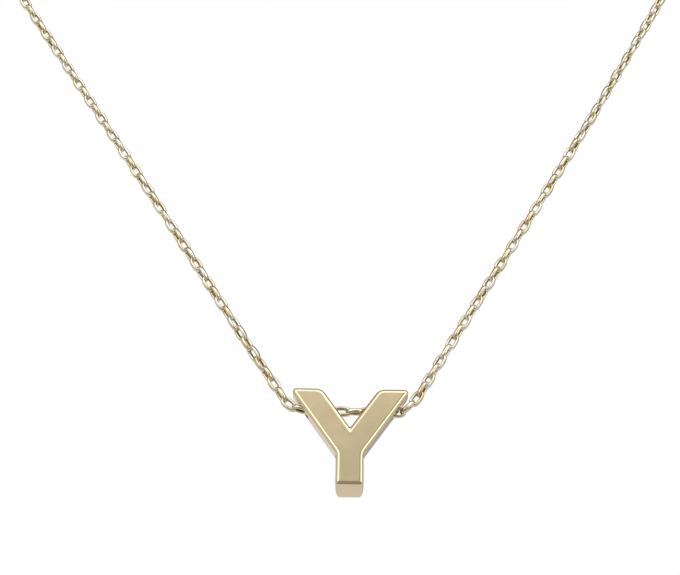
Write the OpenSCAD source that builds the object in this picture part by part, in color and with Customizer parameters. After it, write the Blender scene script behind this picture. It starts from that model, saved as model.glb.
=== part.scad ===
// Initial necklace: a polished capital Y threaded on a fine cable chain.
// The chain is in its worn form, round a neck that stands upright at x = 0, with +Z up.
// The origin is at the nape, in the middle of the clasp; the letter hangs in front, towards -Y.

/* [Letter] */
// Width over the two arms, measured to their corners before these are rounded
letter_w = 10; // [8.8:0.1:12]
// Height from the foot's front edge to the top of the arms
letter_h = 8.45; // [7.6:0.05:11]
// Thickness from the face to the back
letter_d = 2.1; // [2:0.05:3.2]
// Width of the upright stem
stem_w = 2.25; // [1.7:0.05:2.8]
// Width of each arm, across it
arm_w = 2.2; // [1.7:0.05:2.6]
// How far each arm leans from upright, in degrees
arm_lean = 34; // [30:1:38]
// How far the rounding round the face reaches in over the face
face_round = 0.35; // [0.1:0.01:0.42]
// How far that rounding reaches back down the sides
face_turn = 0.24; // [0.06:0.01:0.4]
// How far the rounding round the back reaches in over the back
back_round = 0.44; // [0.1:0.02:0.5]
// How far that rounding reaches forward along the sides
back_turn = 1.2; // [0.4:0.05:1.4]
// How far the foot's underside leans down towards the back, in degrees
foot_lean = 12; // [0:1:15]
// Radius of an arm's top corner on the side of the notch
inner_tip_r = 1; // [0.5:0.05:1.2]
// Radius of an arm's top corner on its outer side
outer_tip_r = 0.3; // [0.1:0.05:0.5]
// Radius in the bottom of the notch
notch_r = 0.1; // [0.05:0.01:0.3]
// Radius where an arm's outer side meets the stem
hip_r = 0.8; // [0.3:0.1:1.5]
// Radius of the foot's two lower corners
foot_r = 0.22; // [0.1:0.02:0.5]
// Depth of the bore's middle below the top of the arms
bore_drop = 1.65; // [1.4:0.05:2]
// Room between the bore and the chain, all round
bore_play = 0.25; // [0.2:0.05:0.3]

/* [Chain] */
// Thickness of the links' flattened wire, in the plane of its link
wire_t = 0.18; // [0.16:0.01:0.2]
// Width of that wire, across its link
wire_w = 0.22; // [0.2:0.01:0.24]
// Clear gap between neighbouring links, along the chain
link_play = 0.18; // [0.17:0.01:0.2]
// Clear gap between a link's wire and the side of the next one
side_play = 0.13; // [0.12:0.01:0.15]
// Distance from each link to the next
link_pitch = 1.12; // [1.05:0.01:1.3]
// Length of chain to each side of the letter that is modelled link by link
front_reach = 66; // [50:1:80]

/* [Clasp] */
// Outer diameter of the clasp's ring
clasp_od = 5.5; // [5:0.1:7]
// Thickness of the clasp's tube
clasp_wire = 1.1; // [0.9:0.05:1.4]
// Outer diameter of the eyelet on the clasp
eye_od = 2.2; // [2:0.1:3]
// Outer diameter of the end ring
ring_od = 3.4; // [3.2:0.1:4.5]
// Wire of the eyelet and of the end ring
ring_wire = 0.4; // [0.3:0.05:0.5]

/* [Hidden] */
$fn = 24;
gold = "#d2be8c";
chain_gold = "#dccb98";

// Where the bore's middle is, in front of the nape and below it
bore_at = [0, -98, -136];

// The chain's route from the middle of the bore to the clasp, measured from the bore's middle.
// The legs are straight and turn where two links cross. The bends are the corners that a
// smooth curve rounds off, up the throat, over the shoulder and round the neck to the nape.
legs_right = [[0, 0, 0], [4.23, 0, 0], [5.31, 0, 1.04], [5.71, 0, 1.66]];
legs_left = [[0, 0, 0], [-3.4, 0, 0], [-4.86, 0, 0.36], [-5.38, 0, 0.88], [-6.14, 0, 2.15]];
bends_right = [
    [7.5, 0, 4.9], [19.7, 0, 26.4], [26.5, 0, 39], [31.8, 0, 49], [38.5, 5, 61], [45, 18, 78],
    [48.5, 36, 97], [47.5, 57, 114], [41, 76, 126.5], [29, 90, 133.5], [14, 97, 136]
];
bends_left = [
    [-8, 0, 5], [-17.4, 0, 20.3], [-28.2, 0, 37.5], [-35.1, 0, 48.5], [-41, 5, 60], [-46.5, 18, 77],
    [-49, 36, 96], [-47.5, 57, 113.5], [-41, 76, 126.5], [-29, 90, 133.5], [-14, 97, 136]
];
// Turn of the links about the chain, in degrees, at distances from the letter
twist_right = [[0, 0], [5.5, 0], [8, 14], [34, 14], [41, 45], [60, 45], [80, 0]];
twist_left = [[0, 0], [5.5, 0], [10, 45], [12, 45], [17, 14], [50, 14], [80, 0]];
// Distance of the face-on link in the notch from the letter's middle, to the left
first_link = 0.7;
// By how much in all the links have closed up where the chain is slack, to the right of the letter
slack_right = [[6.7, 0], [11.2, 0.52], [24.6, 0.8]];
curve_steps = 12;

// The link: its centre line's round ends and the straight between them
link_r = (wire_w + wire_t) / 2 + side_play;
link_straight = link_pitch + link_play + wire_t - 2 * link_r;
link_w = 2 * link_r + wire_t;
link_l = link_straight + link_w;
// A link turns on its neighbour at its own end wire, or at the middle of its round end
cross_span = link_straight / 2 + link_r;
flat_span = link_pitch - cross_span;

// The clasp's rings
clasp_r = (clasp_od - clasp_wire) / 2;
eye_r = (eye_od - ring_wire) / 2;
ring_r = (ring_od - ring_wire) / 2;
eye_x = -(clasp_r + clasp_wire / 2 + eye_r - 0.1);
ring_play = 0.15;
ring_x = clasp_r - clasp_wire / 2 - ring_play - ring_wire / 2 + ring_r;
// Gap between the last of the modelled chain and what it meets
end_gap = 0.12;
end_left = eye_x - eye_od / 2 - end_gap;
end_right = ring_x + ring_od / 2 + end_gap;

function unit(v) = v / norm(v);
function middle(a, b) = (a + b) / 2;

// Points of a smooth curve that starts at the first corner and ends at the last one
function smooth(corners) = [
    corners[0],
    for (i = [1 : len(corners) - 2], k = [i == 1 ? 0 : 1 : curve_steps]) let (
            u = k / curve_steps,
            a = middle(corners[i - 1], corners[i]),
            b = middle(corners[i], corners[i + 1]))
        a * (1 - u) * (1 - u) + corners[i] * 2 * u * (1 - u) + b * u * u,
    corners[len(corners) - 1]
];

// The whole route on one side, in the part's own place
function route(legs, bends, end) = let (last = len(legs) - 1) [
    for (i = [0 : last - 1]) legs[i] + bore_at,
    for (p = smooth([legs[last], each bends, end - bore_at])) p + bore_at
];

// Distances along a list of points
function walked(points, i = 0, s = 0) = [
    s,
    if (i < len(points) - 1)
        each walked(points, i + 1, s + norm(points[i + 1] - points[i]))
];
function table(points, distances, axis) =
    [for (i = [0 : len(points) - 1]) [distances[i], points[i][axis]]];
function tables(points) = let (d = walked(points)) [for (axis = [0 : 2]) table(points, d, axis)];

route_right = route(legs_right, bends_right, [end_right, 0, 0]);
route_left = route(legs_left, bends_left, [end_left, 0, 0]);
tables_right = tables(route_right);
tables_left = tables(route_left);
length_right = max(walked(route_right));
length_left = max(walked(route_left));

// The chain's middle at a distance from the letter's middle, negative to the left
function at(s) = let (t = s < 0 ? tables_left : tables_right)
    [for (axis = [0 : 2]) lookup(abs(s), t[axis])];
function twist(s) = lookup(abs(s), s < 0 ? twist_left : twist_right);

// Directions along the chain, level across it and square to both, at one link or ring
function frame(a, b) = let (t = unit(b - a), n = unit(cross(t, [0, 0, 1]))) [t, n, cross(t, n)];

// The letter's corners, counter-clockwise from the notch as seen from the front, each with its
// place in x and z and its radius. A corner that bends inwards has a negative radius.
letter_top = bore_drop;
letter_foot = bore_drop - letter_h;
arm_across = arm_w / cos(arm_lean);
notch_z = letter_top - (letter_w / 2 - arm_across) / tan(arm_lean);
hip_z = letter_top - (letter_w - stem_w) / 2 / tan(arm_lean);
function left_corners(foot_z) = [
    [[-(letter_w / 2 - arm_across), letter_top], inner_tip_r],
    [[-letter_w / 2, letter_top], outer_tip_r],
    [[-stem_w / 2, hip_z], -hip_r],
    [[-stem_w / 2, foot_z], foot_r]
];
function letter_corners(foot_z) = let (left = left_corners(foot_z)) [
    [[0, notch_z], -notch_r],
    each left,
    for (i = [len(left) - 1 : -1 : 0]) [[-left[i][0][0], left[i][0][1]], left[i][1]]
];
corner_steps = 6;
edge_steps = 5;
least_r = 0.05;
// A place inside the letter from where its whole outline is in sight
letter_heart = [0, letter_top - (letter_w - arm_across) / 2 / tan(arm_lean)];

function inward(d) = [-d[1], d[0]];

// One corner's points, with the outline drawn in by an inset
function corner_points(corners, i, inset) = let (
        n = len(corners),
        p = corners[i][0],
        r = corners[i][1],
        n1 = inward(unit(p - corners[(i + n - 1) % n][0])),
        n2 = inward(unit(corners[(i + 1) % n][0] - p)),
        bisector = (n1 + n2) / (1 + n1 * n2),
        drawn_r = r > 0 ? max(r - inset, least_r) : r,
        centre = p + bisector * (inset + drawn_r),
        start = atan2(n1[1], n1[0]),
        turn = (atan2(n2[1], n2[0]) - start + 540) % 360 - 180
    )
    [for (k = [0 : corner_steps]) let (a = start + turn * k / corner_steps)
        centre - drawn_r * [cos(a), sin(a)]];
function outline(inset, foot_z) = let (corners = letter_corners(foot_z))
    [for (i = [0 : len(corners) - 1]) each corner_points(corners, i, inset)];

// Rings from the face to the back, each with its inset, its distance behind the face, and how
// far the foot stays out of the inset. The foot follows only a part of the back's rounding.
foot_keep = 0.62;
letter_rings = [
    for (k = [0 : edge_steps]) let (a = 90 * k / edge_steps)
        [face_round * (1 - sin(a)), face_turn * (1 - cos(a)), 0],
    for (k = [0 : edge_steps]) let (a = 90 * k / edge_steps, inset = back_round * (1 - cos(a)))
        [inset, letter_d - back_turn * (1 - sin(a)), foot_keep * inset]
];
function ring_points(ring) =
    [for (p = outline(ring[0], letter_foot - ring[1] * tan(foot_lean) - ring[2]))
        [p[0], ring[1] - letter_d / 2, p[1]]];

module letter_blank() {
    rings = [for (ring = letter_rings) ring_points(ring)];
    last = len(rings) - 1;
    around = len(rings[0]);
    face_heart = len(rings) * around;
    back_heart = face_heart + 1;
    points = [
        for (ring = rings) each ring,
        [letter_heart[0], rings[0][0][1], letter_heart[1]],
        [letter_heart[0], rings[last][0][1], letter_heart[1]]
    ];
    faces = [
        for (r = [0 : last - 1], k = [0 : around - 1])
            let (a = r * around + k, b = r * around + (k + 1) % around)
            each [[a, b, a + around], [b, b + around, a + around]],
        for (k = [0 : around - 1]) [face_heart, (k + 1) % around, k],
        for (k = [0 : around - 1]) [back_heart, last * around + k, last * around + (k + 1) % around]
    ];
    polyhedron(points, faces);
}

module letter() {
    color(gold) translate(bore_at) difference() {
        letter_blank();
        rotate([0, 90, 0]) cylinder(d = link_w + 2 * bore_play, h = letter_w + 2, center = true);
    }
}

// The wire's section: round wire rolled flat
module wire_section() {
    intersection() {
        circle(d = wire_w);
        square([wire_t, wire_w], center = true);
    }
}

// One link about its own middle, lying in its x and y
module link() {
    for (end = [-1, 1]) {
        translate([end * link_straight / 2, 0, 0]) rotate([0, 0, -90 * end])
            rotate_extrude(angle = 180) translate([link_r, 0]) wire_section();
        translate([0, end * link_r, 0]) rotate([90, 0, 90])
            linear_extrude(link_straight, center = true) wire_section();
    }
}

// Each link's distance from the letter's middle
function link_at(i) = i * link_pitch - first_link - lookup(i * link_pitch, slack_right);

module placed_link(i) {
    s = link_at(i);
    crosswise = i % 2 != 0;
    span = crosswise ? cross_span : flat_span;
    a = at(s - span);
    b = at(s + span);
    f = frame(a, b);
    turn = twist(s) + (crosswise ? 90 : 0);
    side = cos(turn) * f[2] + sin(turn) * f[1];
    face = cross(f[0], side);
    m = middle(a, b);
    multmatrix([
        [f[0][0], side[0], face[0], m[0]],
        [f[0][1], side[1], face[1], m[1]],
        [f[0][2], side[2], face[2], m[2]],
        [0, 0, 0, 1]
    ]) link();
}

last_right = floor((front_reach + first_link) / link_pitch);
last_left = -floor((front_reach - first_link) / link_pitch);

module chain_front() {
    color(chain_gold) for (i = [last_left : last_right]) placed_link(i);
}

// A round bar along the route from one distance to a greater one, as thick as the chain is wide
back_sides = 8;
back_step = 4.5;
module back_run(from, to) {
    rings = ceil((to - from) / back_step);
    points = [
        for (k = [0 : rings], j = [0 : back_sides - 1]) let (
                s = from + (to - from) * k / rings,
                f = frame(at(s - link_pitch / 2), at(s + link_pitch / 2)),
                a = 360 * j / back_sides)
            at(s) + link_w / 2 * (cos(a) * f[1] + sin(a) * f[2])
    ];
    faces = [
        for (k = [0 : rings - 1], j = [0 : back_sides - 1])
            let (a = k * back_sides + j, b = k * back_sides + (j + 1) % back_sides)
            each [[a, a + back_sides, b], [b, a + back_sides, b + back_sides]],
        [for (j = [0 : back_sides - 1]) j],
        [for (j = [back_sides - 1 : -1 : 0]) rings * back_sides + j]
    ];
    polyhedron(points, faces);
}

module chain_back() {
    start_right = link_at(last_right) + link_l / 2 + end_gap;
    start_left = link_at(last_left) - link_l / 2 - end_gap;
    color(chain_gold) {
        back_run(start_right, length_right);
        back_run(-length_left, start_left);
    }
}

module ring(r, wire) {
    rotate_extrude() translate([r, 0]) circle(d = wire);
}

module clasp() {
    color(gold) {
        rotate([90, 0, 0]) ring(clasp_r, clasp_wire);
        translate([eye_x, 0, 0]) rotate([90, 0, 0]) ring(eye_r, ring_wire);
    }
}

module clasp_ring() {
    color(gold) translate([ring_x, 0, 0]) ring(ring_r, ring_wire);
}

letter();
chain_front();
chain_back();
clasp();
clasp_ring();
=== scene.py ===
# Initial necklace: a polished capital Y that slides on a fine cable chain, in its worn form, round
# a neck that stands upright. The origin is at the nape, in the middle of the clasp, with +Z up, and
# the letter hangs in front, towards -Y. Lengths are in metres.
import math

import bmesh
import bpy
from mathutils import Matrix, Vector


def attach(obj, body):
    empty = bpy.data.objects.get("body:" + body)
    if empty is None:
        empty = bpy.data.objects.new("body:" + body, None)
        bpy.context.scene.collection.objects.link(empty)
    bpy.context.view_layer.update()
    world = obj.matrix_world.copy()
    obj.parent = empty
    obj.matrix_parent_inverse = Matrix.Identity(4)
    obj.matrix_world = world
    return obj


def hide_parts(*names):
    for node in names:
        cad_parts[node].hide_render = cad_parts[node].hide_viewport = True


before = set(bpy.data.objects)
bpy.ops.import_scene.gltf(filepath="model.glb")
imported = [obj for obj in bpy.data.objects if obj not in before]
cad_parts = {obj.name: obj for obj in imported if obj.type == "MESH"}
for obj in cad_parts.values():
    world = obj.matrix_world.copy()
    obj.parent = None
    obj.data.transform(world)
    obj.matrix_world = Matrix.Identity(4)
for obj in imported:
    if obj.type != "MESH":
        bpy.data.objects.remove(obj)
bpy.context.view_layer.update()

# The letter. The real one is a plain capital Y of pale 14-carat gold, cast in one piece, with its
# edges softened and its faces buffed by hand to a mirror. One bore runs through both arms, and the
# chain is threaded through it, so that the letter can slide and swing.
mm = 0.001
bore_middle = Vector((0, -98, -136)) * mm
letter_width = 10.0 * mm
letter_height = 8.45 * mm
letter_depth = 2.1 * mm
stem_width = 2.25 * mm
arm_width = 2.2 * mm
arm_lean = math.radians(34)
foot_lean = math.radians(12)
bore_drop = 1.65 * mm
bore_diameter = 1.34 * mm
inner_tip_radius = 1.0 * mm
outer_tip_radius = 0.3 * mm
notch_radius = 0.1 * mm
hip_radius = 0.8 * mm
foot_radius = 0.22 * mm
# The smallest radius that a corner is left with where the outline is drawn in
least_radius = 0.05 * mm
# The rounding round the face and the one round the back: how far each reaches in over its face,
# and how far along the sides
face_rounding = (0.35 * mm, 0.24 * mm)
back_rounding = (0.44 * mm, 1.2 * mm)
# The foot follows only a part of the back's rounding
foot_keep = 0.62
# The bore's edge is broken wherever it meets the sides at more than this angle
rim_width = 0.04 * mm
rim_angle = math.radians(38)
rim_segments = 2
corner_steps = 10
rounding_steps = 10
bore_sides = 96
# How far the drill goes past the letter at each side
drill_overrun = 1 * mm
# The most that a modifier of weighted normals can favour large faces
full_weight = 100


def corner_arc(before, corner, after, radius, inset):
    """Points round one corner of an outline drawn in by an inset. A negative radius bends inwards."""
    arriving, leaving = (corner - before).normalized(), (after - corner).normalized()
    inward_1, inward_2 = Vector((-arriving.y, arriving.x)), Vector((-leaving.y, leaving.x))
    bisector = (inward_1 + inward_2) / (1 + inward_1.dot(inward_2))
    drawn = max(radius - inset, least_radius) if radius > 0 else radius
    centre = corner + bisector * (inset + drawn)
    start = math.atan2(inward_1.y, inward_1.x)
    turn = (math.atan2(inward_2.y, inward_2.x) - start + math.pi) % math.tau - math.pi
    angles = [start + turn * k / corner_steps for k in range(corner_steps + 1)]
    return [centre - drawn * Vector((math.cos(a), math.sin(a))) for a in angles]


def letter_outline(inset, foot_z):
    """The Y's outline in x and z, counter-clockwise from the notch as seen from the front."""
    arm_across = arm_width / math.cos(arm_lean)
    notch_z = bore_drop - (letter_width / 2 - arm_across) / math.tan(arm_lean)
    hip_z = bore_drop - (letter_width - stem_width) / 2 / math.tan(arm_lean)
    left = [
        (Vector((arm_across - letter_width / 2, bore_drop)), inner_tip_radius),
        (Vector((-letter_width / 2, bore_drop)), outer_tip_radius),
        (Vector((-stem_width / 2, hip_z)), -hip_radius),
        (Vector((-stem_width / 2, foot_z)), foot_radius),
    ]
    right = [(Vector((-corner.x, corner.y)), radius) for corner, radius in reversed(left)]
    corners = [(Vector((0, notch_z)), -notch_radius)] + left + right
    points = []
    for i, (corner, radius) in enumerate(corners):
        after = corners[(i + 1) % len(corners)][0]
        points += corner_arc(corners[i - 1][0], corner, after, radius, inset)
    return points


def letter_rings():
    """From the face to the back: each ring's inset, its depth, and how far the foot stays out."""
    quarter = [math.pi / 2 * k / rounding_steps for k in range(rounding_steps + 1)]
    over, along = face_rounding
    rings = [(over * (1 - math.sin(a)), along * (1 - math.cos(a)), 0) for a in quarter]
    over, along = back_rounding
    for a in quarter:
        inset = over * (1 - math.cos(a))
        rings.append((inset, letter_depth - along * (1 - math.sin(a)), foot_keep * inset))
    return rings


def object_of(name, data):
    """A new object at the origin, in the scene, that shows a mesh or a curve."""
    piece = bpy.data.objects.new(name, data)
    bpy.context.scene.collection.objects.link(piece)
    return piece


def object_of_shape(name, shape):
    """A new object of a bmesh, which is freed."""
    mesh = bpy.data.meshes.new(name)
    shape.to_mesh(mesh)
    shape.free()
    return object_of(name, mesh)


def finished(piece, name):
    """The piece with its modifiers applied, as a plain mesh under its own name."""
    bpy.context.view_layer.update()
    depsgraph = bpy.context.evaluated_depsgraph_get()
    mesh = bpy.data.meshes.new_from_object(piece.evaluated_get(depsgraph), depsgraph=depsgraph)
    mesh.name = name
    bpy.data.objects.remove(piece)
    return object_of(name, mesh)


def letter_blank():
    """The Y before its bore is drilled."""
    shape = bmesh.new()
    rings = []
    for inset, depth, kept in letter_rings():
        foot_z = bore_drop - letter_height - depth * math.tan(foot_lean) - kept
        y = depth - letter_depth / 2
        outline = letter_outline(inset, foot_z)
        rings.append([shape.verts.new(bore_middle + Vector((p.x, y, p.y))) for p in outline])
    for front, behind in zip(rings, rings[1:]):
        for k in range(len(front)):
            after = (k + 1) % len(front)
            shape.faces.new((front[after], front[k], behind[k], behind[after]))
    shape.faces.new(rings[0])
    shape.faces.new(reversed(rings[-1]))
    bmesh.ops.recalc_face_normals(shape, faces=shape.faces)
    for face in shape.faces:
        face.smooth = True
    return object_of_shape("letter_blank", shape)


def bore_drill():
    """A round bar along the bore, longer than the letter is wide."""
    shape = bmesh.new()
    place = Matrix.Translation(bore_middle) @ Matrix.Rotation(math.pi / 2, 4, "Y")
    bmesh.ops.create_cone(
        shape, cap_ends=True, segments=bore_sides, radius1=bore_diameter / 2,
        radius2=bore_diameter / 2, depth=letter_width + 2 * drill_overrun, matrix=place)
    for face in shape.faces:
        face.smooth = True
    return object_of_shape("bore_drill", shape)


blank = letter_blank()
drill = bore_drill()
bored = blank.modifiers.new("bored", "BOOLEAN")
bored.operation = "DIFFERENCE"
bored.solver = "EXACT"
bored.object = drill
rim = blank.modifiers.new("rim", "BEVEL")
rim.width = rim_width
rim.segments = rim_segments
rim.limit_method = "ANGLE"
rim.angle_limit = rim_angle
# The large faces keep a flat shading right up to their roundings
flat = blank.modifiers.new("flat", "WEIGHTED_NORMAL")
flat.weight = full_weight
letter = finished(blank, "initial_letter")
bpy.data.objects.remove(drill)

# The buffed surface: the size of the patches of haze, then the hairlines' length, gap, depth and
# lean, then the length and the depth of the wave that hand buffing leaves. The hairlines' gap is as
# fine as the render can show.
haze_patch = 1.2 * mm
hairline_length = 2.5 * mm
hairline_gap = 0.12 * mm
hairline_depth = 0.0003 * mm
hairline_lean = math.radians(25)
buff_wave_length = 3 * mm
buff_wave_depth = 0.003 * mm
buffed_roughness = (0.1, 0.17)
# Nearly all of a noise texture's values lie between these two
noise_least = 0.3
noise_most = 0.7


def linear(colour):
    """The linear colour of an sRGB hex value."""
    shares = [int(colour[i:i + 2], 16) / 255 for i in (1, 3, 5)]
    return [s / 12.92 if s <= 0.04045 else ((s + 0.055) / 1.055) ** 2.4 for s in shares] + [1]


def add_node(tree, kind, inputs=(), **settings):
    """One node with its settings. Its inputs are a dict by name or number, or a list in order. A
    socket, or a node for its first output, is linked, and any other value is set."""
    node = tree.nodes.new(kind)
    for name, value in settings.items():
        setattr(node, name, value)
    for key, value in inputs.items() if isinstance(inputs, dict) else enumerate(inputs):
        if isinstance(value, bpy.types.Node):
            value = value.outputs[0]
        if isinstance(value, bpy.types.NodeSocket):
            tree.links.new(value, node.inputs[key])
        else:
            node.inputs[key].default_value = value
    return node


def bare_material(name):
    """A material whose node tree is still empty."""
    material = bpy.data.materials.new(name)
    material.use_nodes = True
    material.node_tree.nodes.clear()
    return material


def cast_polished_gold():
    """Cast gold buffed to a mirror: pale and warm, with the buff's faint haze and hairlines."""
    material = bare_material("cast_polished_gold")
    tree = material.node_tree
    place = add_node(tree, "ShaderNodeTexCoord").outputs["Object"]
    # Cloudy patches of alloy and haze
    cloud = add_node(tree, "ShaderNodeTexNoise", {
        "Vector": place, "Scale": 1 / haze_patch, "Detail": 3})
    colour = add_node(tree, "ShaderNodeMix", {
        "Factor": cloud, "A": linear("#f0ddb4"), "B": linear("#ebd6aa")}, data_type="RGBA")
    haze = add_node(tree, "ShaderNodeMapRange", {
        "Value": cloud, "From Min": noise_least, "From Max": noise_most,
        "To Min": buffed_roughness[0], "To Max": buffed_roughness[1]})
    # Hairlines that the buff leaves across the face
    across = add_node(tree, "ShaderNodeMapping", {
        "Vector": place, "Rotation": (0, hairline_lean, 0),
        "Scale": (1 / hairline_length, 1 / hairline_gap, 1 / hairline_gap)})
    hairlines = add_node(tree, "ShaderNodeTexNoise", {
        "Vector": across, "Scale": 1, "Detail": 2, "Roughness": 0.6})
    # The wave that hand buffing leaves in a flat face
    wave = add_node(tree, "ShaderNodeTexNoise", {
        "Vector": place, "Scale": 1 / buff_wave_length, "Detail": 1})
    waved = add_node(tree, "ShaderNodeBump", {
        "Height": wave, "Distance": buff_wave_depth, "Strength": 1})
    scratched = add_node(tree, "ShaderNodeBump", {
        "Height": hairlines, "Distance": hairline_depth, "Strength": 1, "Normal": waved})
    metal = add_node(tree, "ShaderNodeBsdfPrincipled", {
        "Base Color": colour.outputs["Result"], "Metallic": 1, "Roughness": haze,
        "Normal": scratched})
    add_node(tree, "ShaderNodeOutputMaterial", {"Surface": metal})
    return material


letter.data.materials.clear()
letter.data.materials.append(cast_polished_gold())
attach(letter, "letter")
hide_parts("letter")

# The chain. The real one is cable chain of drawn gold wire: oval links, each soldered shut and
# turned a quarter against the next, which catch the light in turns. It is threaded through the
# letter, lies over the collarbones and runs round the neck to the clasp.
link_pitch = 1.12 * mm
link_length = 1.62 * mm
link_width = 0.92 * mm
# The wire is rolled flat: its thickness in the plane of its link, and its width across it
wire_thickness = 0.25 * mm
wire_width = 0.4 * mm
# How full the oval is: 1 is an ellipse, and less is closer to a box
link_fullness = 0.8
# How far a link may hang turned about the chain, to either side, and the seed of those turns
loose_turn = math.radians(12)
loose_seed = 0
# From a link's middle to the middle of the wire at its end
cross_span = (link_length - wire_thickness) / 2
# The steps round a link and round its wire, where the chain shows and where it is hidden
front_steps = (20, 8)
back_steps = (12, 6)
# How far left of the letter's middle the face-on link in the notch lies, and how many links the
# photograph shows to the left and to the right of it
first_link = 0.7 * mm
front_left = 58
front_right = 59
# Where the last links turn, on the clasp's eyelet and on the end ring
eyelet_end = Vector((-4.09, 0, 0)) * mm
ring_end = Vector((3.94, 0, 0)) * mm
# The route from the bore's middle to the clasp, in millimetres from that middle. The legs are
# straight, and the bends are corners that a smooth curve rounds off.
legs_right = [(0, 0, 0), (4.23, 0, 0), (5.31, 0, 1.04), (5.71, 0, 1.66)]
legs_left = [(0, 0, 0), (-3.4, 0, 0), (-4.86, 0, 0.36), (-5.38, 0, 0.88), (-6.14, 0, 2.15)]
bends_right = [
    (7.5, 0, 4.9), (19.7, 0, 26.4), (26.5, 0, 39), (31.8, 0, 49), (38.5, 5, 61), (45, 18, 78),
    (48.5, 36, 97), (47.5, 57, 114), (41, 76, 126.5), (29, 90, 133.5), (14, 97, 136),
]
bends_left = [
    (-8, 0, 5), (-17.4, 0, 20.3), (-28.2, 0, 37.5), (-35.1, 0, 48.5), (-41, 5, 60),
    (-46.5, 18, 77), (-49, 36, 96), (-47.5, 57, 113.5), (-41, 76, 126.5), (-29, 90, 133.5),
    (-14, 97, 136),
]
# How far the links turn about the chain, in degrees, at millimetres from the letter's middle
twist_right = [(0, 0), (5.5, 0), (8, 14), (34, 14), (41, 45), (60, 45), (80, 0)]
twist_left = [(0, 0), (5.5, 0), (10, 45), (12, 45), (17, 14), (50, 14), (80, 0)]
# On the right the chain lies slack for a stretch, so its links close up: by how much in all, at
# millimetres from the letter's middle
slack_right = [(0, 0), (6.7, 0), (11.2, 0.52), (24.6, 0.8)]
curve_steps = 12


def rounded(corners):
    """Points of a smooth curve from the first corner to the last."""
    points = [corners[0]]
    for i in range(1, len(corners) - 1):
        corner = corners[i]
        a = (corners[i - 1] + corner) / 2
        b = (corner + corners[i + 1]) / 2
        for k in range(0 if i == 1 else 1, curve_steps + 1):
            u = k / curve_steps
            points.append(a * (1 - u) ** 2 + corner * 2 * u * (1 - u) + b * u ** 2)
    return points + [corners[-1]]


def side_route(legs, bends, end):
    """The whole route on one side, from the bore's middle to the clasp."""
    legs, bends = [[Vector(p) * mm for p in table] for table in (legs, bends)]
    points = legs[:-1] + rounded([legs[-1]] + bends + [end - bore_middle])
    return [p + bore_middle for p in points]


def between(table, x):
    """A table's value at x, in line between its rows, and level past its end."""
    for (x0, y0), (x1, y1) in zip(table, table[1:]):
        if x <= x1:
            return y0 + (y1 - y0) * (x - x0) / (x1 - x0)
    return table[-1][1]


def stations(points, twist):
    """The distance, the place and the turn at each point of a side, and where its turn changes."""
    walked = [0]
    for a, b in zip(points, points[1:]):
        walked.append(walked[-1] + (b - a).length)
    turns = [(x * mm, math.radians(y)) for x, y in twist]
    stops = sorted(set(walked) | {x for x, _ in turns})
    axes = [list(zip(walked, [p[axis] for p in points])) for axis in range(3)]
    return [(s, Vector([between(axis, s) for axis in axes]), between(turns, s)) for s in stops]


right_side = stations(side_route(legs_right, bends_right, ring_end), twist_right)
left_side = stations(side_route(legs_left, bends_left, eyelet_end), twist_left)
right_length, left_length = right_side[-1][0], left_side[-1][0]


def route_curve():
    """The chain's middle line from the left end to the right one, with the links' turn as its
    tilt."""
    curve = bpy.data.curves.new("chain_route", "CURVE")
    curve.dimensions = "3D"
    line = curve.splines.new("POLY")
    stops = left_side[:0:-1] + right_side
    line.points.add(len(stops) - 1)
    for point, (_, place, turn) in zip(line.points, stops):
        point.co = (*place, 1)
        point.tilt = turn
    return object_of("chain_route", curve)


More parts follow.
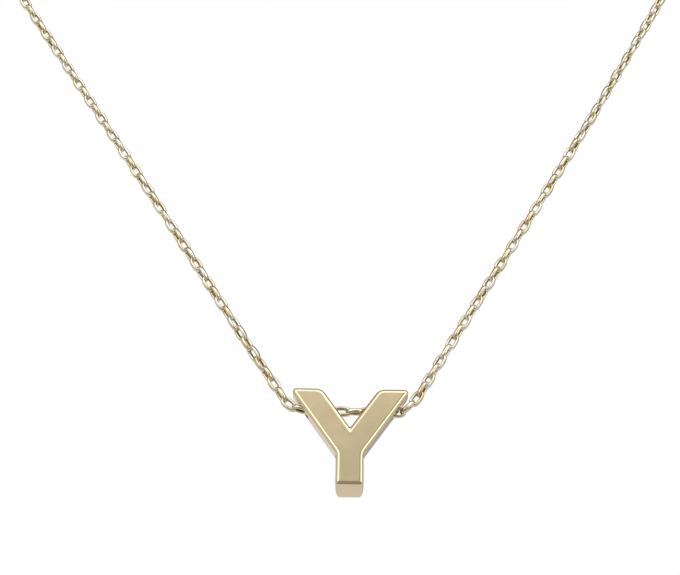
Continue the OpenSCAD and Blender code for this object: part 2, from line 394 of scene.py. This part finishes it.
def cable_links():
    """The node tree that sets a link at each point's distance along a route. Each point says too
    whether its link lies crosswise, a quarter turn from the next."""
    tree = bpy.data.node_groups.new("cable_links", "GeometryNodeTree")
    for name, kind in (
            ("Points", "NodeSocketGeometry"), ("Route", "NodeSocketObject"),
            ("Pitch", "NodeSocketFloat"), ("Length", "NodeSocketFloat"),
            ("Width", "NodeSocketFloat"), ("Fullness", "NodeSocketFloat"),
            ("Wire thickness", "NodeSocketFloat"), ("Wire width", "NodeSocketFloat"),
            ("Loose turn", "NodeSocketFloat"), ("Loose seed", "NodeSocketInt"),
            ("Steps round a link", "NodeSocketInt"), ("Steps round the wire", "NodeSocketInt"),
            ("Metal", "NodeSocketMaterial")):
        tree.interface.new_socket(name, in_out="INPUT", socket_type=kind)
    tree.interface.new_socket("Links", in_out="OUTPUT", socket_type="NodeSocketGeometry")
    given = add_node(tree, "NodeGroupInput").outputs
    number, vector = "ShaderNodeMath", "ShaderNodeVectorMath"

    # One link about its own middle: a full oval along the middle of its wire, swept by the section
    # of the flattened wire
    spans = [
        add_node(tree, number, (given[size], given["Wire thickness"]), operation="SUBTRACT")
        for size in ("Length", "Width")]
    half_length, half_width = [
        add_node(tree, number, (span, 2), operation="DIVIDE") for span in spans]
    half_wire = [
        add_node(tree, number, (given[size], 2), operation="DIVIDE")
        for size in ("Wire thickness", "Wire width")]
    position = add_node(tree, "GeometryNodeInputPosition")
    spot = add_node(tree, "ShaderNodeSeparateXYZ", (position,))

    def full_oval(steps, half_sizes):
        """A circle of radius 1 drawn out to a full oval, by its half sizes along X and Y."""
        circle = add_node(tree, "GeometryNodeCurvePrimitiveCircle", {
            "Resolution": steps, "Radius": 1})
        drawn = []
        for axis, half_size in zip("XY", half_sizes):
            coordinate = spot.outputs[axis]
            plain = add_node(tree, number, (coordinate,), operation="ABSOLUTE")
            fuller = add_node(tree, number, (plain, given["Fullness"]), operation="POWER")
            sign = add_node(tree, number, (coordinate,), operation="SIGN")
            signed = add_node(tree, number, (sign, fuller), operation="MULTIPLY")
            drawn.append(add_node(tree, number, (signed, half_size), operation="MULTIPLY"))
        place = add_node(tree, "ShaderNodeCombineXYZ", drawn)
        return add_node(tree, "GeometryNodeSetPosition", {"Geometry": circle, "Position": place})

    oval = full_oval(given["Steps round a link"], (half_length, half_width))
    section = full_oval(given["Steps round the wire"], half_wire)
    plain_link = add_node(tree, "GeometryNodeCurveToMesh", {
        "Curve": oval, "Profile Curve": section})
    # How far each spot faces the link's middle, which sets where brown shade is painted on the gold
    # inside the link
    outward = add_node(tree, vector, (position,), operation="NORMALIZE")
    normal = add_node(tree, "GeometryNodeInputNormal")
    facing_out = add_node(tree, vector, (outward, normal), operation="DOT_PRODUCT")
    facing_in = add_node(tree, number, (facing_out.outputs["Value"], -1), operation="MULTIPLY")
    link = add_node(tree, "GeometryNodeStoreNamedAttribute", {
        "Geometry": plain_link, "Name": "inner", "Value": facing_in}, data_type="FLOAT")

    # Each link is laid through two points of the route, as far before its own as after it: a
    # crosswise link through its own ends, and the one between two of those through their ends
    # that are nearest to it
    distance, crosswise = [
        add_node(tree, "GeometryNodeInputNamedAttribute", {"Name": name}, data_type="FLOAT")
        for name in ("distance", "crosswise")]
    short_reach = add_node(tree, number, (given["Pitch"], half_length), operation="SUBTRACT")
    longer_by = add_node(tree, number, (half_length, short_reach), operation="SUBTRACT")
    reach = add_node(tree, number, (crosswise, longer_by, short_reach), operation="MULTIPLY_ADD")
    lengths = [distance] + [
        add_node(tree, number, (distance, reach), operation=way) for way in ("SUBTRACT", "ADD")]
    route_line = add_node(tree, "GeometryNodeObjectInfo", {"Object": given["Route"]})
    tilt = add_node(tree, "GeometryNodeInputCurveTilt")
    here, before, after = [
        add_node(tree, "GeometryNodeSampleCurve", {
            "Curves": route_line.outputs["Geometry"], "Value": tilt, "Length": length},
            mode="LENGTH", data_type="FLOAT").outputs
        for length in lengths]
    ends = (after["Position"], before["Position"])
    along = add_node(tree, vector, ends, operation="SUBTRACT")
    forward = add_node(tree, vector, (along,), operation="NORMALIZE")
    across = add_node(tree, vector, (forward, (0, 0, 1)), operation="CROSS_PRODUCT")
    level = add_node(tree, vector, (across,), operation="NORMALIZE")
    upright = add_node(tree, vector, (forward, level), operation="CROSS_PRODUCT")
    summed = add_node(tree, vector, (before["Position"], after["Position"]), operation="ADD")
    middle = add_node(tree, vector, {0: summed, "Scale": 0.5}, operation="SCALE")

    # It is turned about the route by the route's own turn, by a loose turn, and by a quarter turn
    # if it lies crosswise
    least_turn = add_node(tree, number, (given["Loose turn"], -1), operation="MULTIPLY")
    loose = add_node(tree, "FunctionNodeRandomValue", {
        "Min": least_turn, "Max": given["Loose turn"], "Seed": given["Loose seed"]})
    hung = add_node(tree, number, (here["Value"], loose.outputs["Value"]), operation="ADD")
    turn = add_node(tree, number, (crosswise, math.pi / 2, hung), operation="MULTIPLY_ADD")
    shares = [add_node(tree, number, (turn,), operation=share) for share in ("COSINE", "SINE")]
    parts = [
        add_node(tree, vector, {0: side, "Scale": share}, operation="SCALE")
        for side, share in zip((upright, level), shares)]
    sideways = add_node(tree, vector, parts, operation="ADD")
    facing = add_node(tree, "FunctionNodeAxesToRotation", {
        "Primary Axis": forward, "Secondary Axis": sideways}, primary_axis="X", secondary_axis="Y")

    places = add_node(tree, "GeometryNodeSetPosition", {
        "Geometry": given["Points"], "Position": middle})
    linked = add_node(tree, "GeometryNodeInstanceOnPoints", {
        "Points": places, "Instance": link, "Rotation": facing})
    real = add_node(tree, "GeometryNodeRealizeInstances", (linked,))
    gilt = add_node(tree, "GeometryNodeSetMaterial", {
        "Geometry": real, "Material": given["Metal"]})
    add_node(tree, "NodeGroupOutput", (gilt,))
    return tree


# The dents of the tumbler's shot, across and deep
dent_size = 0.1 * mm
dent_depth = 0.007 * mm
tumbled_roughness = (0.05, 0.13)
# The values of the noise at which a link is clean, and at which it is fully tarnished
tarnish_from = 0.38
tarnish_full = 0.62
# How far a spot has to face the middle of its link for the painted shade to begin and to be full,
# where 1 is straight towards it, and how much of the gold the painted brown shade hides there
painted_shade_from = 0.2
painted_shade_full = 0.85
painted_shade_most = 0.9


def drawn_wire_gold():
    """Drawn gold wire, polished in a tumbler: brighter and paler than the cast letter, and yellow
    where it has tarnished, with painted brown shade inside the links."""
    material = bare_material("drawn_wire_gold")
    tree = material.node_tree
    place = add_node(tree, "ShaderNodeTexCoord").outputs["Object"]
    # Each link is tarnished a little more or less than the next: patches of about one pitch
    patch = add_node(tree, "ShaderNodeTexNoise", {
        "Vector": place, "Scale": 1 / link_pitch, "Detail": 2})
    tarnish = add_node(tree, "ShaderNodeMapRange", {
        "Value": patch, "From Min": tarnish_from, "From Max": tarnish_full,
        "To Min": 0, "To Max": 1})
    colour = add_node(tree, "ShaderNodeMix", {
        "Factor": tarnish, "A": linear("#f5edd4"), "B": linear("#e2cf9f")}, data_type="RGBA")
    worn = add_node(tree, "ShaderNodeMapRange", {
        "Value": patch, "From Min": noise_least, "From Max": noise_most,
        "To Min": tumbled_roughness[0], "To Max": tumbled_roughness[1]})
    # Painted shade: the gold is turned brown inside the links, where they cross and shade one another
    inner = add_node(tree, "ShaderNodeAttribute", attribute_name="inner")
    painted_shade = add_node(tree, "ShaderNodeMapRange", {
        "Value": inner.outputs["Fac"], "From Min": painted_shade_from, "From Max": painted_shade_full,
        "To Min": 0, "To Max": painted_shade_most})
    gold_with_painted_shade = add_node(tree, "ShaderNodeMix", {
        "Factor": painted_shade, "A": colour.outputs["Result"], "B": linear("#7a5526")},
        data_type="RGBA")
    dents = add_node(tree, "ShaderNodeTexNoise", {
        "Vector": place, "Scale": 1 / dent_size, "Detail": 1})
    dented = add_node(tree, "ShaderNodeBump", {
        "Height": dents, "Distance": dent_depth, "Strength": 1})
    metal = add_node(tree, "ShaderNodeBsdfPrincipled", {
        "Base Color": gold_with_painted_shade.outputs["Result"], "Metallic": 1, "Roughness": worn,
        "Normal": dented})
    add_node(tree, "ShaderNodeOutputMaterial", {"Surface": metal})
    return material


chain_gold = drawn_wire_gold()
route = route_curve()
links_tree = cable_links()
links_inputs = {item.name: item.identifier for item in links_tree.interface.items_tree}


def run_of_links(name, places, steps):
    """Links at places along the chain: each its distance to the right of the letter's middle,
    negative to the left, and whether it lies crosswise."""
    points = bpy.data.meshes.new(name + "_points")
    points.from_pydata([(0, 0, 0)] * len(places), [], [])
    distances = [left_length + s for s, _ in places]
    crosswise = [c for _, c in places]
    for attribute, values in (("distance", distances), ("crosswise", crosswise)):
        points.attributes.new(attribute, "FLOAT", "POINT").data.foreach_set("value", values)
    host = object_of(name + "_points", points)
    links = host.modifiers.new("links", "NODES")
    links.node_group = links_tree
    round_link, round_wire = steps
    for given, value in (
            ("Route", route), ("Pitch", link_pitch), ("Length", link_length),
            ("Width", link_width), ("Fullness", link_fullness),
            ("Wire thickness", wire_thickness), ("Wire width", wire_width),
            ("Loose turn", loose_turn), ("Loose seed", loose_seed),
            ("Steps round a link", round_link), ("Steps round the wire", round_wire),
            ("Metal", chain_gold)):
        links[links_inputs[given]] = value
    return finished(host, name)


def front_place(i):
    """The place of a link of the front, counted from the face-on one in the notch."""
    s = i * link_pitch
    slack = between(slack_right, s / mm) * mm if s > 0 else 0
    return s - first_link - slack, i % 2


front = [front_place(i) for i in range(-front_left, front_right + 1)]
front_links = run_of_links("front_links", front, front_steps)
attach(front_links, "chain")
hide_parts("chain_front")


def back_places(nearest, end, side):
    """The links from the front's last one to the clasp: an odd number of them, since each end of
    the chain needs its last link turned across what it hooks."""
    s, crosswise = nearest
    reach = end - cross_span - side * s
    count = 2 * round((reach / link_pitch - 1) / 2) + 1
    return [(s + side * reach * k / count, (crosswise + k) % 2) for k in range(1, count + 1)]


# Past the front the same links run on to the clasp. The last on the left hooks the eyelet, so it
# lies level, and the last on the right hooks the level end ring, so it stands upright.
back = back_places(front[0], left_length, -1) + back_places(front[-1], right_length, 1)
back_links = run_of_links("back_links", back, back_steps)
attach(back_links, "chain")
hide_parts("chain_back")
bpy.data.objects.remove(route)

# The clasp and the end ring. The real ones are a plain ring clasp of rolled gold tube with its
# soldered eyelet, and a closed ring of round gold wire, which the clasp is hooked through at the
# nape.
handling_patch = 0.8 * mm
rolled_roughness = (0.12, 0.24)


def rolled_fitting_gold():
    """Bought-in fittings of rolled gold tube: bright, with a fine haze from handling."""
    material = bare_material("rolled_fitting_gold")
    tree = material.node_tree
    place = add_node(tree, "ShaderNodeTexCoord").outputs["Object"]
    cloud = add_node(tree, "ShaderNodeTexNoise", {
        "Vector": place, "Scale": 1 / handling_patch, "Detail": 4})
    colour = add_node(tree, "ShaderNodeMix", {
        "Factor": cloud, "A": linear("#f2dfb2"), "B": linear("#e8d2a0")}, data_type="RGBA")
    haze = add_node(tree, "ShaderNodeMapRange", {
        "Value": cloud, "From Min": noise_least, "From Max": noise_most,
        "To Min": rolled_roughness[0], "To Max": rolled_roughness[1]})
    metal = add_node(tree, "ShaderNodeBsdfPrincipled", {
        "Base Color": colour.outputs["Result"], "Metallic": 1, "Roughness": haze})
    add_node(tree, "ShaderNodeOutputMaterial", {"Surface": metal})
    return material


fitting_gold = rolled_fitting_gold()
for name in ("clasp", "clasp_ring"):
    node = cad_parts[name]
    node.data.materials.clear()
    node.data.materials.append(fitting_gold)

# The studio: a plain pale floor well below the necklace, a soft white surround whose darker parts
# give the metal its tones, and the camera, which looks up at the letter from below.
floor_z = -0.3
floor_half = 3
card_roughness = 0.9


def plain_floor():
    """A level sheet of matt pale card. The metal mirrors the surround and not the sheet."""
    shape = bmesh.new()
    bmesh.ops.create_grid(
        shape, x_segments=1, y_segments=1, size=floor_half,
        matrix=Matrix.Translation((0, 0, floor_z)))
    floor = object_of_shape("floor", shape)
    material = bpy.data.materials.new("matt_card")
    material.use_nodes = True
    card = material.node_tree.nodes["Principled BSDF"].inputs
    card["Base Color"].default_value = linear("#f4f2ee")
    card["Roughness"].default_value = card_roughness
    floor.data.materials.append(material)
    floor.visible_glossy = False
    return floor


plain_floor()

# The surround's parts in order, each laid over the ones before: the direction it lies in, as its
# turn to the right of the front and its height, in degrees, then the half widths in degrees to
# where it is full and to where it ends, its brightness and its tint
surround = [
    (5, 20, 34, 50, 1.9, "#ffffff"),
    (5, 45, 20, 35, 1.9, "#ffffff"),
    (180, 60, 48, 68, 0.28, "#ffffff"),
    (180, -50, 25, 55, 0.83, "#f0f0fc"),
    (-152, 10, 10, 25, 0.88, "#f2f2ff"),
    (152, 10, 10, 25, 0.5, "#f2f2ff"),
    (0, -35, 28, 50, 0.3, "#ffffff"),
    (0, 15, 9, 20, 0.58, "#ffffff"),
    (15, 21, 9, 13, 0.38, "#ffffff"),
    (-27, 42, 7, 13, 0.95, "#ffffff"),
]
# The brightness and the tint wherever none of them lies
rest_brightness = 0.68
rest_tint = "#eff4ff"


def direction(turn, height):
    """A unit vector to the right of the front (-Y) and up, by two angles in degrees."""
    turn, height = math.radians(turn), math.radians(height)
    level = math.cos(height)
    return (math.sin(turn) * level, -math.cos(turn) * level, math.sin(height))


def lit(brightness, tint):
    """The linear colour of a tint at a brightness."""
    return [brightness * share for share in linear(tint)[:3]] + [1]


def soft_studio():
    """The world: the surround as reflections and shadows see it, and plain white behind."""
    world = bpy.data.worlds.new("soft_studio")
    world.use_nodes = True
    tree = world.node_tree
    tree.nodes.clear()
    toward = add_node(tree, "ShaderNodeTexCoord").outputs["Generated"]
    light = lit(rest_brightness, rest_tint)
    for turn, height, full, end, brightness, tint in surround:
        near = add_node(
            tree, "ShaderNodeVectorMath", (toward, direction(turn, height)),
            operation="DOT_PRODUCT")
        share = add_node(tree, "ShaderNodeMapRange", {
            "Value": near.outputs["Value"], "From Min": math.cos(math.radians(end)),
            "From Max": math.cos(math.radians(full))}, interpolation_type="SMOOTHSTEP")
        mixed = add_node(tree, "ShaderNodeMix", {
            "Factor": share, "A": light, "B": lit(brightness, tint)}, data_type="RGBA")
        light = mixed.outputs["Result"]
    seen = add_node(tree, "ShaderNodeLightPath").outputs["Is Camera Ray"]
    shown = add_node(tree, "ShaderNodeMix", {
        "Factor": seen, "A": light, "B": (1, 1, 1, 1)}, data_type="RGBA")
    glow = add_node(tree, "ShaderNodeBackground", {
        "Color": shown.outputs["Result"], "Strength": 1})
    add_node(tree, "ShaderNodeOutputWorld", {"Surface": glow})
    return world


bpy.context.scene.world = soft_studio()
bpy.context.scene.view_settings.view_transform = "Standard"

# The camera is 0.14 m from the letter, below it, and looks up by 30 degrees with a slight roll
camera_place = bore_middle + Vector((-1.0, -122.2, -58.8)) * mm
camera_pitch = math.radians(120)
camera_roll = math.radians(0.93)
nearest_seen = 0.01
sensor_width = 36
focal_pixels = 1650
image_width = 680

lens = bpy.data.cameras.new("camera")
lens.sensor_width = sensor_width
lens.lens = focal_pixels / image_width * sensor_width
lens.clip_start = nearest_seen
camera = object_of("camera", lens)
camera.location = camera_place
aim = Matrix.Rotation(camera_pitch, 3, "X") @ Matrix.Rotation(camera_roll, 3, "Z")
camera.rotation_euler = aim.to_euler()
bpy.context.scene.camera = camera
